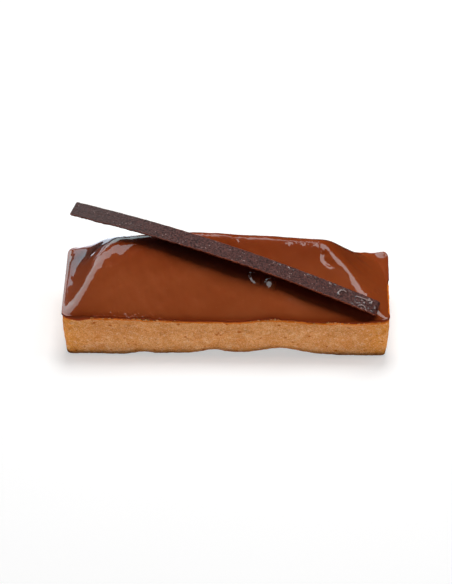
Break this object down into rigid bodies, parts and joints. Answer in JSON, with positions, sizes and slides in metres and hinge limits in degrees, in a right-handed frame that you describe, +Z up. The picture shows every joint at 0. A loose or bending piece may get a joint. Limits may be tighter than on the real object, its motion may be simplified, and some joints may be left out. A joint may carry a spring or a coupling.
{
  "type": "chocolate tart",
  "caption": "Rectangular shortcrust tart case with a hipped, glossy chocolate mound and a thin bowed chocolate stick lying across it.",
  "frame": {"origin": "the middle of the flat underside, on the surface that the tart rests on", "axes": "+X runs along the tart's length, +Y to its back, +Z up; -Z points out of the flat base"},
  "size_m": [0.12, 0.0435, 0.0394],
  "materials": {
    "pastry": "matt, sandy baked shortcrust, a little darker at its top edge and foot",
    "chocolate_glaze": "wet, mirror-like milk chocolate glaze with soft waves",
    "dark_chocolate": "satin dark chocolate with fine grain, redder on its cut edges"
  },
  "bodies": {
    "root": {"pastry_case": "pastry", "chocolate_filling": "chocolate_glaze", "chocolate_stick": "dark_chocolate"}
  },
  "joints": []
}
